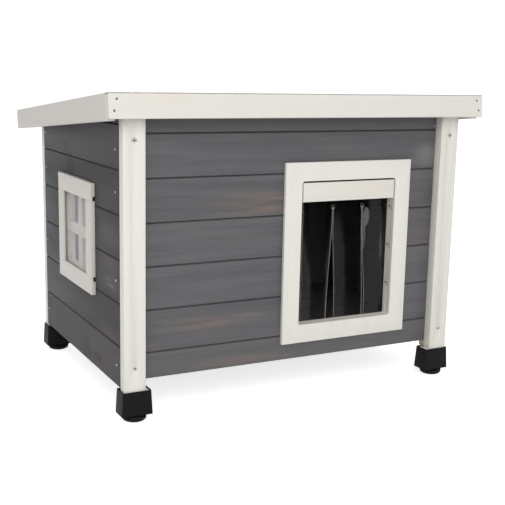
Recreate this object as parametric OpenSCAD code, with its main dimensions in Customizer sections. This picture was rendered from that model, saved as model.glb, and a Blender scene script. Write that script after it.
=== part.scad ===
// Outdoor cat house: grey tongue-and-groove walls on four white posts, a hinged lean-to
// roof with a white fascia, a slit curtain in the doorway, a side window and levelling feet.
// Millimetres. Origin on the ground under the middle of the roof, front towards -Y, +Z up.

/* [Overall] */
// Width over the roof
roof_w = 570; // [500:1:700]
// Depth over the roof
roof_d = 450; // [420:1:560]
// Height of the roof's front edge above the ground
house_h = 425; // [400:1:520]
// Fall of the roof towards the rear, in degrees
roof_slope = 5.3; // [3:0.1:8]
// Roof's overhang past the posts at each side
side_overhang = 25; // [20:1:40]
// Roof's overhang past the posts at the front
front_overhang = 22; // [18:1:30]
// Roof's overhang past the posts at the rear
rear_overhang = 54; // [40:1:75]

/* [Boards] */
// Height that each wall board covers
board_pitch = 57.2; // [45:0.1:75]
// Thickness of the wall boards, and of the battens behind the posts
board_t = 12; // [9:0.5:15]
// Height of the lowest board in the front and rear walls
front_first = 34.7; // [25:0.1:45]
// Height of the lowest board in the side walls
side_first = 54.4; // [45:0.1:60]
// Lower edge of the front and rear walls above the ground
front_low = 52.5; // [50:0.5:65]
// Lower edge of the side walls above the ground
side_low = 44.5; // [44:0.5:60]
// Thickness of a board's tongue
tongue_t = 4; // [3:0.5:5]
// Length of a board's tongue
tongue_l = 4.5; // [3:0.5:6]
// Depth of the bevel along each visible board edge
vee = 1.4; // [0.5:0.1:2]

/* [Frame] */
// Width of each corner post
post_w = 30; // [26:1:40]
// Thickness of each corner post
post_t = 14; // [12:0.5:18]
// Width of the inner battens and cleats
batten_w = 18; // [15:1:22]
// Thickness of the floor boards
floor_t = 9; // [8:0.5:12]
// Height of the bearers under the floor
bearer_h = 12; // [10:1:16]

/* [Doorway] */
// Distance of the doorway's middle to the right of the house's middle
door_x = 79.5; // [40:0.5:90]
// Lower edge of the doorway above the ground
door_z = 102; // [95:1:115]
// Width of the doorway
door_w = 155.5; // [140:0.5:165]
// Height of the doorway
door_h = 203.5; // [180:0.5:210]
// Width of the white frame round the doorway
frame_w = 26; // [20:1:30]
// Thickness of the white frames round the doorway and the window
frame_t = 6; // [5:0.5:8]
// Radius of the doorway frame's inner corners
door_corner_r = 4; // [2:0.5:6]
// Height of the header board inside the doorway
header_h = 27; // [22:1:32]
// Thickness of the header board
header_t = 5; // [4:0.5:6]
// Gap round the header board
header_gap = 2; // [1:0.5:3]

/* [Curtain] */
// Thickness of the curtain sheet
pvc_t = 1; // [0.8:0.1:1.2]
// Gap between the curtain and the doorway at each side
curtain_gap = 5.75; // [2.5:0.25:8]
// Sideways offset of the curtain in the doorway
curtain_shift = -0.5; // [-2:0.1:2]
// Distance between the two slits
slit_pitch = 49; // [44:0.5:52]
// Height of the slits' upper ends below the header board
slit_drop = 7.5; // [5:0.5:14]
// Radius of the round hole that ends each slit
slit_hole_r = 2.2; // [1.5:0.1:3]
// Gap between neighbouring strips
slit_gap = 0.8; // [0.6:0.1:1.5]
// Height of the strips' lower ends above the doorway's lower edge
strip_clear = 5; // [1.2:0.1:8]
// Distance that the strips' lower ends stand forward of their upper ends
strip_lean = 2; // [0:0.5:8]
// Depth of the curl across a strip's lower end
strip_curl = 3; // [0:0.5:6]
// Sideways set of the left strip's inner edge at its lower end
strip_skew = 7.5; // [0:0.5:10]
// Sideways set of the slit beside the right strip at its lower end
strip_drift = 5; // [0:0.5:6]
// Share of the sheet's thickness left along the line where a strip bends
bend_share = 0.6; // [0.4:0.05:0.8]

/* [Window] */
// Distance of the window's middle in front of the house's middle
window_y = 15; // [0:1:30]
// Height of the window's middle above the ground
window_z = 224; // [215:1:240]
// Width and height of the clear window opening
window_s = 104.5; // [90:0.5:115]
// Width of the window frame's boards
window_frame_w = 24.5; // [20:0.5:28]
// Thickness of the window pane
pane_t = 2; // [1.5:0.5:2.5]
// Width of the rebate that holds the pane
rebate_w = 6.5; // [5:0.5:8]
// Depth of the rebate that holds the pane
rebate_d = 3; // [2.5:0.5:3.5]
// Width of the glazing bars
bar_w = 16; // [12:0.5:20]
// Thickness of the glazing bars
bar_t = 6; // [5:0.5:8]
// Depth of the glazing bars' outer faces inside the wall
bar_set = 2.5; // [0:0.5:5]

/* [Feet] */
// Height of the foot caps' rims above the ground
cap_top = 42; // [40:0.5:43]
// Height of the foot caps' undersides above the ground
cap_low = 9.5; // [8:0.5:14]
// Wall of a foot cap
cap_wall = 1.75; // [1.5:0.25:3]
// Spare width beside the post in its cap
cap_spare = 5; // [2:0.5:6]
// Thickness of the corner battens' lower ends, inside the caps
batten_foot = 7; // [5:0.5:8.5]
// Widening of a foot cap from its rim to its underside, on each side
cap_flare = 1.5; // [0:0.5:3]
// Thickness of a foot cap's bottom
cap_floor = 14; // [12:0.5:16]
// Radius of the round glide under each cap
glide_r = 16; // [12:0.5:16.5]
// Radius of the glide's flat underside
glide_base_r = 8.5; // [8:0.5:11.5]
// Thickness of the glide's disc
glide_h = 8; // [5:0.5:9]
// Radius of the glide's stem
stem_r = 4; // [3:0.5:5]
// Length of the glide's stem above its collar
stem_l = 13; // [10:0.5:13.5]

/* [Roof] */
// Height of the front fascia board
fascia_front_h = 30.5; // [24:0.5:36]
// Height of the side fascia boards at the front
fascia_side_h = 33.5; // [24:0.5:38]
// Height of the side fascia boards at the rear
fascia_rear_h = 29.5; // [22:0.5:36]
// Thickness of the fascia boards
fascia_t = 12; // [9:0.5:15]
// Thickness of the roof boards
deck_t = 9.5; // [8:0.5:14]
// Thickness of the roofing felt
felt_t = 1; // [0.5:0.5:3]
// Radius of the front fascia's corners
fascia_corner_r = 2.5; // [1:0.5:5]
// Distance of the roof battens from the house's middle
roof_batten_x = 195; // [188:1:198]
// Height of the roof battens
roof_batten_h = 15; // [12:1:20]

/* [Hinges] */
// Length of each roof hinge along its pin
hinge_l = 28; // [24:1:29]
// Width of each hinge leaf, from the pin outwards
leaf_w = 22; // [18:1:26]
// Thickness of the hinge leaves
leaf_t = 1.2; // [1:0.1:1.5]
// Radius of the hinge pins
pin_r = 1.3; // [1:0.1:1.5]

/* [Fasteners] */
// Radius of the screw heads
head_r = 3.8; // [2.8:0.1:3.8]
// Radius of the screw shanks
shank_r = 1.6; // [1.2:0.1:2]
// Height of the lower post screws above the ground
screw_low = 73; // [66:1:90]
// Distance of the upper post screws below the roof's front edge
screw_drop = 59; // [50:1:75]
// Radius of the nail heads
nail_head_r = 1.5; // [1.2:0.1:2]
// Radius of the nail shanks
nail_r = 0.8; // [0.6:0.1:1]
// Distance of the front and rear walls' nails from the posts
nail_inset = 3; // [2:0.5:12]

/* [Hidden] */

// Fits and clearances
board_gap = 0.3;
tongue_gap = 0.2;
rest_gap = 0.5;
batten_gap = 0.4;
stem_gap = 0.05;
pin_gap = 0.05;
knuckle_gap = 0.3;
knuckle_clear = 0.5;
overcut = 1;
nail_proud = 0.3;
nail_l = 20;
nailed_boards = [0, 2, 4, 5];
screw_l = post_t + board_t - 4;
// Side nails go in beside the inner face of the corner battens, clear of the post screws
nail_front = board_t + 2;
nail_rear = board_t - 2;
batten_end_gap = 10;

// Body, between the posts' outer faces
body_w = roof_w - 2 * side_overhang;
front_y = -roof_d / 2 + front_overhang;
rear_y = roof_d / 2 - rear_overhang;
wall_front_y = front_y + post_t;
wall_rear_y = rear_y - post_t;
inner_x = body_w / 2 - board_t;
leg_x = body_w / 2 - post_w / 2;
batten_x = inner_x - batten_w;
// Roof plane: its upper front edge, and the depth of the boards' underside below it
edge_y = -roof_d / 2 + (felt_t + fascia_front_h) * sin(roof_slope);
deck_under = felt_t + deck_t;
slope_l = (roof_d / 2 - edge_y) / cos(roof_slope);
function roof_z(y, depth = 0) =
    house_h - (y - edge_y) * tan(roof_slope) - depth / cos(roof_slope);
wall_top = roof_z(wall_front_y, deck_under);
rear_top = roof_z(wall_rear_y, deck_under);
floor_z = front_low + 1 + bearer_h;
door_left = door_x - door_w / 2;
door_right = door_x + door_w / 2;
door_top = door_z + door_h;
header_w = door_w - 2 * header_gap;
header_top = door_top - header_gap;
header_low = header_top - header_h;
// Curtain sheet: its front plane, the level where it bends, and the strips' width
pvc_y = wall_front_y - pvc_t;
curtain_w = door_w - 2 * curtain_gap;
curtain_left = door_x + curtain_shift - curtain_w / 2;
bend_z = header_low - slit_drop - slit_hole_r;
bend_above = 0.5 * pvc_t;
bend_below = 0.45 * pvc_t;
strip_top = bend_z - bend_below;
strip_low = door_z + strip_clear;
// Feet
cap_in_w = post_w + cap_spare + 2 * batten_gap;
cap_in_d = post_t + batten_foot + 2 * batten_gap;
cap_w = cap_in_w + 2 * cap_wall;
cap_d = cap_in_d + 2 * cap_wall;
cap_x = body_w / 2 + batten_gap + cap_wall - cap_w / 2;
cap_y = front_y - batten_gap - cap_wall + cap_d / 2;
cap_rear_y = rear_y + batten_gap + cap_wall - cap_d / 2;
leg_low = cap_low + cap_floor;
// Hinges: the pin's axis lies behind the rear posts, just under the roof boards
knuckle_r = pin_r + pin_gap + leaf_t;
axis_off = knuckle_r + knuckle_clear;
axis_y = rear_y + axis_off;
axis_z = roof_z(axis_y, deck_under) - axis_off / cos(roof_slope);
// Colours
grey = [0.37, 0.36, 0.36];
white = [0.9, 0.88, 0.85];
pine = [0.78, 0.66, 0.5];
black = [0.15, 0.15, 0.15];
zinc = [0.72, 0.72, 0.7];
clear_pvc = [0.35, 0.36, 0.35, 0.6];
felt_grey = [0.25, 0.26, 0.26];

// Puts children on the roof plane: X across, Y down the slope, Z square to the roof
module on_slope() translate([0, edge_y, house_h]) rotate([-roof_slope, 0, 0]) children();

// Mirrors children to both sides of the house
module both_sides() for (s = [1, -1]) scale([s, 1, 1]) children();

// Section of one tongue-and-groove board: thickness along X, height along Y
module board_section(low, high, thick, groove, bevel) {
    mid = thick / 2;
    half = tongue_t / 2;
    foot = groove ? bevel : 0;
    difference() {
        union() {
            polygon([[0, low + foot], [foot, low], [thick, low], [thick, high],
                [bevel, high], [0, high - bevel]]);
            translate([mid - half, high - 0.01]) square([tongue_t, tongue_l + 0.01]);
        }
        if (groove)
            translate([mid - half - tongue_gap, low - overcut])
                square([tongue_t + 2 * tongue_gap, tongue_l + tongue_gap + overcut]);
    }
}

// Stack of boards from low upwards, past high; each runs len along X from x = 0
module board_stack(low, first, high, len, thick, bevel) {
    count = ceil((high - low - first) / board_pitch);
    for (i = [0:count]) {
        base = i == 0 ? low : low + first + (i - 1) * board_pitch + board_gap;
        rotate([90, 0, 90]) linear_extrude(len)
            board_section(base, low + first + i * board_pitch, thick, i > 0, bevel);
    }
}

// Heights of the nails in a side wall, each in the middle of one of the boards listed
function nail_heights(boards) = [for (i = boards)
    let (low = i == 0 ? side_low : side_low + side_first + (i - 1) * board_pitch,
         high = min(side_low + side_first + i * board_pitch, roof_z(rear_y, deck_under)))
    if (high - low > 4 * nail_head_r) (low + high) / 2];
// Height of the nails in the top board of a front or rear wall that ends at high
function top_nail(high) = let (n = floor((high - 2 * nail_rise - front_low - front_first) / board_pitch))
    front_low + front_first + n * board_pitch + nail_rise;
nail_rise = 6;

// Everything above the walls: what the roof's underside cuts off
module roof_cut(gap = rest_gap)
    on_slope() translate([-roof_w, -roof_d, -deck_under - gap])
        cube([2 * roof_w, 3 * roof_d, house_h]);

// One nail driven along +Z from the surface at z = 0
module nail(grow = 0) {
    translate([0, 0, -nail_l]) cylinder(r = nail_r + grow, h = nail_l, $fn = 16);
    cylinder(r = nail_head_r + grow, h = nail_proud + grow, $fn = 24);
}

// One countersunk screw with its head flush at z = 0
module screw(len = screw_l) {
    sink = head_r - shank_r;
    translate([0, 0, -len]) cylinder(r = shank_r, h = len - sink, $fn = 24);
    translate([0, 0, -sink]) cylinder(r1 = shank_r, r2 = head_r, h = sink, $fn = 32);
}

// Cross recess in a screw head
module cross_recess() {
    for (a = [0, 90]) rotate([0, 0, a])
        translate([-head_r * 0.55, -0.45, -1]) cube([head_r * 1.1, 0.9, 1 + overcut]);
}

// Places of the nails through the boards into battens and cleats, driven inwards
module wall_nail_places() {
    for (z = nail_heights(nailed_boards), y = [wall_front_y + nail_front, wall_rear_y - nail_rear])
        both_sides() translate([body_w / 2, y, z]) rotate([0, 90, 0]) children();
    both_sides() translate([batten_x - nail_inset, wall_front_y, top_nail(wall_top)])
        rotate([90, 0, 0]) children();
    both_sides() translate([batten_x - nail_inset, wall_rear_y, top_nail(rear_top)])
        rotate([-90, 0, 0]) children();
}

// Places of the screws through the posts into the battens
screw_below_leaf = 8;
module post_screw_places() {
    for (z = [screw_low, house_h - screw_drop]) both_sides() {
        translate([leg_x, front_y, z]) rotate([90, 0, 0]) children();
        translate([leg_x, rear_y, min(z, axis_z - leaf_w - screw_below_leaf)]) rotate([-90, 0, 0]) children();
    }
}

module front_boards() color(grey) difference() {
    translate([-batten_x, wall_front_y, 0])
        board_stack(front_low, front_first, wall_top + post_t, 2 * batten_x, board_t, vee);
    translate([door_left, wall_front_y - overcut, door_z])
        cube([door_w, board_t + 2 * overcut, door_h]);
    roof_cut();
    wall_nail_places() nail_hole();
}

module rear_boards() color(grey) difference() {
    translate([batten_x, wall_rear_y, 0]) rotate([0, 0, 180])
        board_stack(front_low, front_first, wall_top, 2 * batten_x, board_t, vee);
    roof_cut();
    wall_nail_places() nail_hole();
}

// Bore for one nail's shank
module nail_hole() translate([0, 0, -nail_l]) cylinder(r = nail_r, h = nail_l + overcut, $fn = 16);

module side_boards() difference() {
    translate([-body_w / 2, wall_rear_y, 0]) rotate([0, 0, -90])
        board_stack(side_low, side_first, wall_top + post_t, wall_rear_y - wall_front_y, board_t, vee);
    roof_cut();
}

module left_boards() color(grey) difference() {
    side_boards();
    translate([-body_w / 2 - overcut, -window_y - window_s / 2, window_z - window_s / 2])
        cube([board_t + 2 * overcut, window_s, window_s]);
    wall_nail_places() nail_hole();
}

module right_boards() color(grey) difference() {
    mirror([1, 0, 0]) side_boards();
    wall_nail_places() nail_hole();
}

// One front post on the right; the others are its mirror images
module front_post() difference() {
    translate([body_w / 2 - post_w, front_y, leg_low]) cube([post_w, post_t, house_h]);
    roof_cut();
    translate([leg_x, front_y, 0]) for (z = [screw_low, house_h - screw_drop])
        translate([0, 0, z]) rotate([90, 0, 0]) screw();
}

module rear_post() difference() {
    translate([body_w / 2 - post_w, rear_y - post_t, leg_low]) cube([post_w, post_t, house_h]);
    roof_cut();
    post_screw_places() screw();
    fixed_screw_places() screw(hinge_screw_l);
}

module post_front_left() color(white) mirror([1, 0, 0]) front_post();
module post_front_right() color(white) front_post();
module post_rear_left() color(white) mirror([1, 0, 0]) rear_post();
module post_rear_right() color(white) rear_post();

module corner_battens() color(pine) difference() {
    both_sides() for (y = [wall_front_y, wall_rear_y - board_t])
        translate([batten_x, y, leg_low]) cube([batten_w, board_t, house_h]);
    both_sides() for (y = [wall_front_y + batten_foot, wall_rear_y - batten_foot - board_t])
        translate([batten_x - overcut, y, leg_low - overcut])
            cube([batten_w + 2 * overcut, board_t, cap_top + rest_gap - leg_low + overcut]);
    roof_cut();
    wall_nail_places() nail_hole();
    post_screw_places() screw();
}

// Backing pieces: lap the joint between the corner battens and the front and rear boards
module wall_cleats() color(pine) difference() {
    both_sides() for (y = [wall_front_y + board_t, wall_rear_y - 2 * board_t])
        translate([batten_x - batten_w, y, front_low]) cube([2 * batten_w, board_t, house_h]);
    roof_cut();
    wall_nail_places() nail_hole();
    post_screw_places() screw();
}

// Floor boards run across the house, notched round the backing pieces
module floor_boards() color(pine) difference() {
    intersection() {
        translate([-inner_x + batten_gap, 0, floor_z + floor_t]) rotate([-90, 0, 0])
            board_stack(wall_front_y + board_t + batten_gap, board_pitch / 2, wall_rear_y,
                2 * (inner_x - batten_gap), floor_t, vee / 2);
        translate([-inner_x, wall_front_y + board_t + batten_gap, floor_z])
            cube([2 * inner_x, wall_rear_y - wall_front_y - 2 * (board_t + batten_gap), floor_t]);
    }
    both_sides() for (y = [wall_front_y + board_t - overcut,
            wall_rear_y - 2 * board_t - batten_gap])
        translate([batten_x - batten_w - batten_gap, y, floor_z - overcut])
            cube([3 * batten_w, board_t + batten_gap + overcut, floor_t + 2 * overcut]);
}

module floor_bearers() color(pine) both_sides()
    translate([batten_x, wall_front_y + 2 * board_t, floor_z - bearer_h])
        cube([batten_w, wall_rear_y - wall_front_y - 4 * board_t, bearer_h]);

module door_frame() color(white)
    translate([door_x, wall_front_y, door_z + door_h / 2]) rotate([90, 0, 0])
        linear_extrude(frame_t) difference() {
            square([door_w + 2 * frame_w, door_h + 2 * frame_w], center = true);
            offset(door_corner_r, $fn = 32) offset(-door_corner_r) square([door_w, door_h], center = true);
        }

module door_studs() color(pine) difference() {
    for (x = [door_left - batten_w - header_gap, door_right + header_gap])
        translate([x, wall_front_y + board_t, floor_z + floor_t])
            cube([batten_w, board_t, house_h]);
    roof_cut();
}

module door_header() color(white)
    translate([door_x - header_w / 2, pvc_y - header_t, header_low])
        cube([header_w, header_t, header_h]);

// Rail behind the curtain: its front part fills the doorway, its back part spans the studs
module curtain_rail() color(pine) {
    translate([door_x - header_w / 2, wall_front_y, header_low])
        cube([header_w, board_t + overcut, header_h]);
    translate([door_left - header_gap, wall_front_y + board_t, header_low])
        cube([door_w + 2 * header_gap, board_t, header_h]);
}

module curtain_band() color(clear_pvc) difference() {
    translate([curtain_left, pvc_y, bend_z + bend_above])
        cube([curtain_w, pvc_t, header_top - bend_z - bend_above]);
    for (i = [1, 2])
        translate([curtain_left + i * slit_pitch, pvc_y - overcut, bend_z + slit_hole_r * 0.8])
            rotate([-90, 0, 0]) cylinder(r = slit_hole_r, h = pvc_t + 2 * overcut, $fn = 32);
}

// A strip's edge and surface: u runs across it from 0 to 1, v down it from 0 to 1
across = 8;
down = 14;
function blend(v) = v * v * (3 - 2 * v);
function strip_point(u, v, x0, x1, set0, set1, curl, back) =
    let (left = x0 + set0 * blend(v), right = x1 + set1 * blend(v),
         thick = v == 0 ? pvc_t * bend_share : pvc_t)
    [left + (right - left) * u,
     pvc_y + pvc_t / 2 - strip_lean * blend(v)
         - curl * blend(v) * (1 - 4 * (u - 0.5) * (u - 0.5)) + (back - 0.5) * thick,
     strip_top + (strip_low - strip_top) * v];

// One curtain strip: a sheet whose lower end stands forward and curls across its width
module strip(x0, x1, set0, set1, curl) {
    n = across + 1;
    face = n * (down + 1);
    points = [for (back = [0, 1], j = [0:down], i = [0:across])
        strip_point(i / across, j / down, x0, x1, set0, set1, curl, back)];
    rim = concat([for (i = [0:across - 1]) [i, i + 1]],
        [for (j = [0:down - 1]) [across + j * n, across + (j + 1) * n]],
        [for (i = [across:-1:1]) [down * n + i, down * n + i - 1]],
        [for (j = [down:-1:1]) [j * n, (j - 1) * n]]);
    front = [for (j = [0:down - 1], i = [0:across - 1])
        let (a = j * n + i) each [[a, a + n, a + 1], [a + 1, a + n, a + n + 1]]];
    rear = [for (f = front) [f[0] + face, f[2] + face, f[1] + face]];
    edge = [for (r = rim) each [[r[0], r[1], r[0] + face], [r[1], r[1] + face, r[0] + face]]];
    polyhedron(points, concat([for (f = front) [f[0], f[2], f[1]]],
        [for (f = rear) [f[0], f[2], f[1]]], [for (f = edge) [f[0], f[2], f[1]]]), 4);
}

// The strips' lower corners stay inside the doorway and its rounded corners
left_set = max(door_left + door_corner_r * 0.35 - curtain_left, -strip_skew / 4);
module curtain_strip_left() color(clear_pvc)
    strip(curtain_left, curtain_left + slit_pitch - slit_gap / 2,
        left_set, -strip_skew, strip_curl);
module curtain_strip_middle() color(clear_pvc)
    strip(curtain_left + slit_pitch + slit_gap / 2, curtain_left + 2 * slit_pitch - slit_gap / 2,
        strip_drift, strip_drift, strip_curl * 0.6);
module curtain_strip_right() color(clear_pvc)
    strip(curtain_left + 2 * slit_pitch + slit_gap / 2, curtain_left + curtain_w,
        strip_drift * 1.6, -strip_skew / 4, -strip_curl * 0.5);

// A window frame board: lies on the wall's outer face, its rebate along one long edge.
// X runs along the board, Y across it away from the opening, Z out of the wall.
module window_board(len, rebate_from, rebate_to) difference() {
    cube([len, window_frame_w, frame_t]);
    translate([rebate_from, -overcut, -overcut])
        cube([rebate_to - rebate_from, rebate_w + overcut, rebate_d + overcut]);
}

window_out = window_s + 2 * window_frame_w;
// Puts children on the left wall round the window's middle: X towards the rear, Y up, Z outwards
module on_window() translate([-body_w / 2, -window_y, window_z])
    rotate([90, 0, -90]) mirror([1, 0, 0]) children();

module window_rail() translate([-window_out / 2, window_s / 2, 0])
    window_board(window_out, -overcut, window_out + overcut);
module window_stile() rotate([0, 0, 90]) translate([-window_s / 2, window_s / 2, 0])
    window_board(window_s, -overcut, window_s + overcut);

module window_rail_top() color(white) on_window() window_rail();
module window_rail_bottom() color(white) on_window() mirror([0, 1, 0]) window_rail();
module window_stile_front() color(white) on_window() window_stile();
module window_stile_rear() color(white) on_window() mirror([1, 0, 0]) window_stile();

module window_pane() color([0.8, 0.85, 0.85, 0.4]) on_window()
    translate([0, 0, rebate_d - pane_t / 2])
        cube([window_s + 2 * rebate_w - 1, window_s + 2 * rebate_w - 1, pane_t], center = true);

// Glazing bars, halved into each other where they cross
bar_back = -bar_set - bar_t;
module glazing_bar() translate([-bar_w / 2, -window_s / 2, bar_back])
    cube([bar_w, window_s, bar_t]);
module bar_notch(from) translate([-bar_w / 2, -bar_w / 2, from])
    cube([bar_w, bar_w, bar_t]);
module glazing_bar_upright() color(white) on_window() difference() {
    glazing_bar();
    bar_notch(bar_back - bar_t / 2);
}
module glazing_bar_cross() color(white) on_window() difference() {
    rotate([0, 0, 90]) glazing_bar();
    bar_notch(bar_back + bar_t / 2);
}

// Rounded rectangle of a foot cap's outline
module cap_outline(grow) offset(cap_wall, $fn = 24)
    square([cap_w + 2 * grow - 2 * cap_wall, cap_d + 2 * grow - 2 * cap_wall], center = true);

module foot_cap() difference() {
    hull() {
        translate([0, 0, cap_top - 1]) linear_extrude(1) cap_outline(0);
        translate([0, 0, cap_low]) linear_extrude(1) cap_outline(cap_flare);
    }
    translate([-cap_in_w / 2, -cap_in_d / 2, leg_low]) cube([cap_in_w, cap_in_d, cap_top]);
    translate([0, 0, cap_low - overcut])
        cylinder(r = stem_r + stem_gap, h = cap_floor + 2 * overcut, $fn = 48);
}

module foot_caps() color(black) both_sides() for (y = [cap_y, cap_rear_y])
    translate([cap_x, y, 0]) foot_cap();

// Packing strip that takes up the spare width beside the post in its cap
module leg_packers() color(white) both_sides() for (y = [cap_y, cap_rear_y])
    translate([cap_x - cap_in_w / 2 + batten_gap / 2, y - cap_in_d / 2 + batten_gap, leg_low])
        cube([cap_spare, cap_in_d - 2 * batten_gap, cap_top - leg_low - 1]);

// Round glide: shallow bowl, collar that seats against the cap, and the stem in the cap's bore
module glide(sx, y) color(black) translate([sx * cap_x, y, 0]) {
    rotate_extrude($fn = 64)
        polygon(concat([[0, 0]],
            [for (a = [0:15:90]) [glide_base_r + (glide_r - glide_base_r) * sin(a),
                glide_h * 0.6 * (1 - cos(a))]],
            [[glide_r, glide_h - 1], [glide_r - 1, glide_h], [stem_r * 1.8, glide_h],
                [stem_r * 1.8, cap_low], [stem_r, cap_low], [stem_r, cap_low + stem_l],
                [0, cap_low + stem_l]]));
}
module glide_front_left() glide(-1, cap_y);
module glide_front_right() glide(1, cap_y);
module glide_rear_left() glide(-1, cap_rear_y);
module glide_rear_right() glide(1, cap_rear_y);

// Fascia boards: the front one covers the ends of the side ones
module roof_fascia_front() color(white) difference() {
    on_slope() translate([0, fascia_t, -felt_t - fascia_front_h / 2]) rotate([90, 0, 0])
        linear_extrude(fascia_t) offset(fascia_corner_r, $fn = 32)
            square([roof_w, fascia_front_h] - 2 * fascia_corner_r * [1, 1], center = true);
    fascia_nail_places() nail_hole();
}

module side_fascia() difference() {
    on_slope() translate([roof_w / 2 - fascia_t, 0, 0]) rotate([90, 0, 90]) linear_extrude(fascia_t)
        polygon([[fascia_t, 0], [slope_l, 0], [slope_l, -fascia_rear_h], [fascia_t, -fascia_side_h]]);
    fascia_nail_places() nail_hole();
}
module roof_fascia_left() color(white) mirror([1, 0, 0]) side_fascia();
module roof_fascia_right() color(white) side_fascia();

// Two nails at each end of the front fascia, the upper one set further in
module fascia_nail_places() on_slope() both_sides() for (place = [[0.9, 0.23], [0.6, 0.69]])
    translate([roof_w / 2 - fascia_t * place[0], 0, -felt_t - fascia_front_h * place[1]])
        rotate([90, 0, 0]) children();

// Roof boards run across between the side fascias, their tongues towards the rear. They are laid
// from the rear edge, so that the hinges' screws meet a full board; the front one is ripped.
deck_l = slope_l - fascia_t;
deck_first = deck_l - board_pitch * floor((deck_l - board_pitch / 3) / board_pitch);
module roof_boards() color(pine) difference() {
    on_slope() intersection() {
        translate([-roof_w / 2 + fascia_t, 0, -felt_t]) rotate([-90, 0, 0])
            board_stack(fascia_t, deck_first, slope_l, roof_w - 2 * fascia_t, deck_t, vee / 2);
        translate([-roof_w / 2, fascia_t, -deck_under])
            cube([roof_w, slope_l - fascia_t, deck_t]);
    }
    moving_screw_places() screw(moving_screw_l);
}

// Roofing felt lies over the boards between the side fascias and over the front one's edge
module roof_felt() color(felt_grey) on_slope() translate([0, 0, -felt_t]) linear_extrude(felt_t)
    union() {
        translate([-roof_w / 2, 0]) square([roof_w, fascia_t]);
        translate([fascia_t - roof_w / 2, 0]) square([roof_w - 2 * fascia_t, slope_l]);
    }

// Battens that hold the roof boards together, inside the cabin
batten_start = (wall_front_y + 2 * board_t + batten_end_gap - edge_y) / cos(roof_slope);
batten_end = (wall_rear_y - 2 * board_t - batten_end_gap - edge_y) / cos(roof_slope);
module roof_battens() color(pine) on_slope() both_sides()
    translate([roof_batten_x - batten_w / 2, batten_start, -deck_under - roof_batten_h])
        cube([batten_w, batten_end - batten_start, roof_batten_h]);

// Hinges on the rear posts. X runs along the pin; the knuckle is in thirds.
hinge_screw_l = 12;
moving_screw_l = 9;
third = hinge_l / 3;
screw_out = leaf_w * 0.6;
module knuckle(from, to) translate([from, 0, 0]) rotate([0, 90, 0])
    difference() {
        cylinder(r = knuckle_r, h = to - from, $fn = 48);
        translate([0, 0, -overcut]) cylinder(r = pin_r + pin_gap, h = to - from + 2 * overcut, $fn = 48);
    }

// A leaf: lies at depth knuckle_clear below its mounting face, Y outwards from the pin
module leaf(knuckles, cuts) difference() {
    union() {
        translate([-hinge_l / 2, 0, axis_off - leaf_t]) cube([hinge_l, leaf_w, leaf_t]);
        for (k = knuckles) translate([k[0], 0, 0]) union() {
            knuckle(0, k[1] - k[0]);
            translate([0, 0, pin_r + pin_gap + 0.2])
                cube([k[1] - k[0], knuckle_r, axis_off - pin_r - pin_gap - 0.2]);
        }
    }
    for (c = cuts) translate([c[0], -knuckle_r - overcut, -knuckle_r - overcut])
        cube([c[1] - c[0], 2 * knuckle_r + 2 * overcut, 2 * knuckle_r + 2 * overcut]);
    leaf_screws() screw(hinge_screw_l);
}

module leaf_screws() for (x = [-hinge_l / 4, hinge_l / 4])
    translate([x, screw_out, axis_off - leaf_t]) mirror([0, 0, 1]) children();

// The fixed leaf hangs down the rear post's back face
module on_post_face() both_sides() translate([leg_x, axis_y, axis_z]) rotate([90, 0, 0])
    mirror([0, 1, 0]) children();
// The moving leaf lies under the roof boards' overhang
module on_roof_face() both_sides() translate([leg_x, axis_y, axis_z]) rotate([-roof_slope, 0, 0])
    children();

module fixed_screw_places() on_post_face() leaf_screws() children();
module moving_screw_places() on_roof_face() leaf_screws() children();

module hinge_leaves_fixed() color(zinc) on_post_face()
    leaf([[-hinge_l / 2, -third / 2 - knuckle_gap / 2], [third / 2 + knuckle_gap / 2, hinge_l / 2]],
        [[-third / 2 - knuckle_gap / 2, third / 2 + knuckle_gap / 2]]);
module hinge_leaves_moving() color(zinc) on_roof_face()
    leaf([[-third / 2 + knuckle_gap / 2, third / 2 - knuckle_gap / 2]],
        [[-hinge_l / 2 - overcut, -third / 2 + knuckle_gap / 2],
         [third / 2 - knuckle_gap / 2, hinge_l / 2 + overcut]]);
module hinge_pins() color(zinc) both_sides() translate([leg_x - hinge_l / 2, axis_y, axis_z])
    rotate([0, 90, 0]) cylinder(r = pin_r, h = hinge_l, $fn = 48);

module post_screws() color(zinc) post_screw_places() difference() {
    screw();
    cross_recess();
}
module hinge_screws_fixed() color(zinc) fixed_screw_places() screw(hinge_screw_l);
module hinge_screws_moving() color(zinc) moving_screw_places() screw(moving_screw_l);
module wall_nails() color(zinc) wall_nail_places() nail();
module fascia_nails() color(zinc) fascia_nail_places() nail();

front_boards();
rear_boards();
left_boards();
right_boards();
post_front_left();
post_front_right();
post_rear_left();
post_rear_right();
corner_battens();
wall_cleats();
floor_boards();
floor_bearers();
door_frame();
door_studs();
door_header();
curtain_rail();
curtain_band();
curtain_strip_left();
curtain_strip_middle();
curtain_strip_right();
window_rail_top();
window_rail_bottom();
window_stile_front();
window_stile_rear();
window_pane();
glazing_bar_upright();
glazing_bar_cross();
foot_caps();
leg_packers();
glide_front_left();
glide_front_right();
glide_rear_left();
glide_rear_right();
roof_fascia_front();
roof_fascia_left();
roof_fascia_right();
roof_boards();
roof_felt();
roof_battens();
hinge_leaves_fixed();
hinge_leaves_moving();
hinge_pins();
post_screws();
wall_nails();
fascia_nails();
hinge_screws_fixed();
hinge_screws_moving();
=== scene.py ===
"""Outdoor cat house: finishes, soft curtain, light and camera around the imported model."""

import logging
import math
from dataclasses import dataclass
from enum import Enum
from typing import Dict, List, Optional, Protocol, Sequence, Tuple, Union

import bmesh
import bpy
from mathutils import Matrix, Vector


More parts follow.
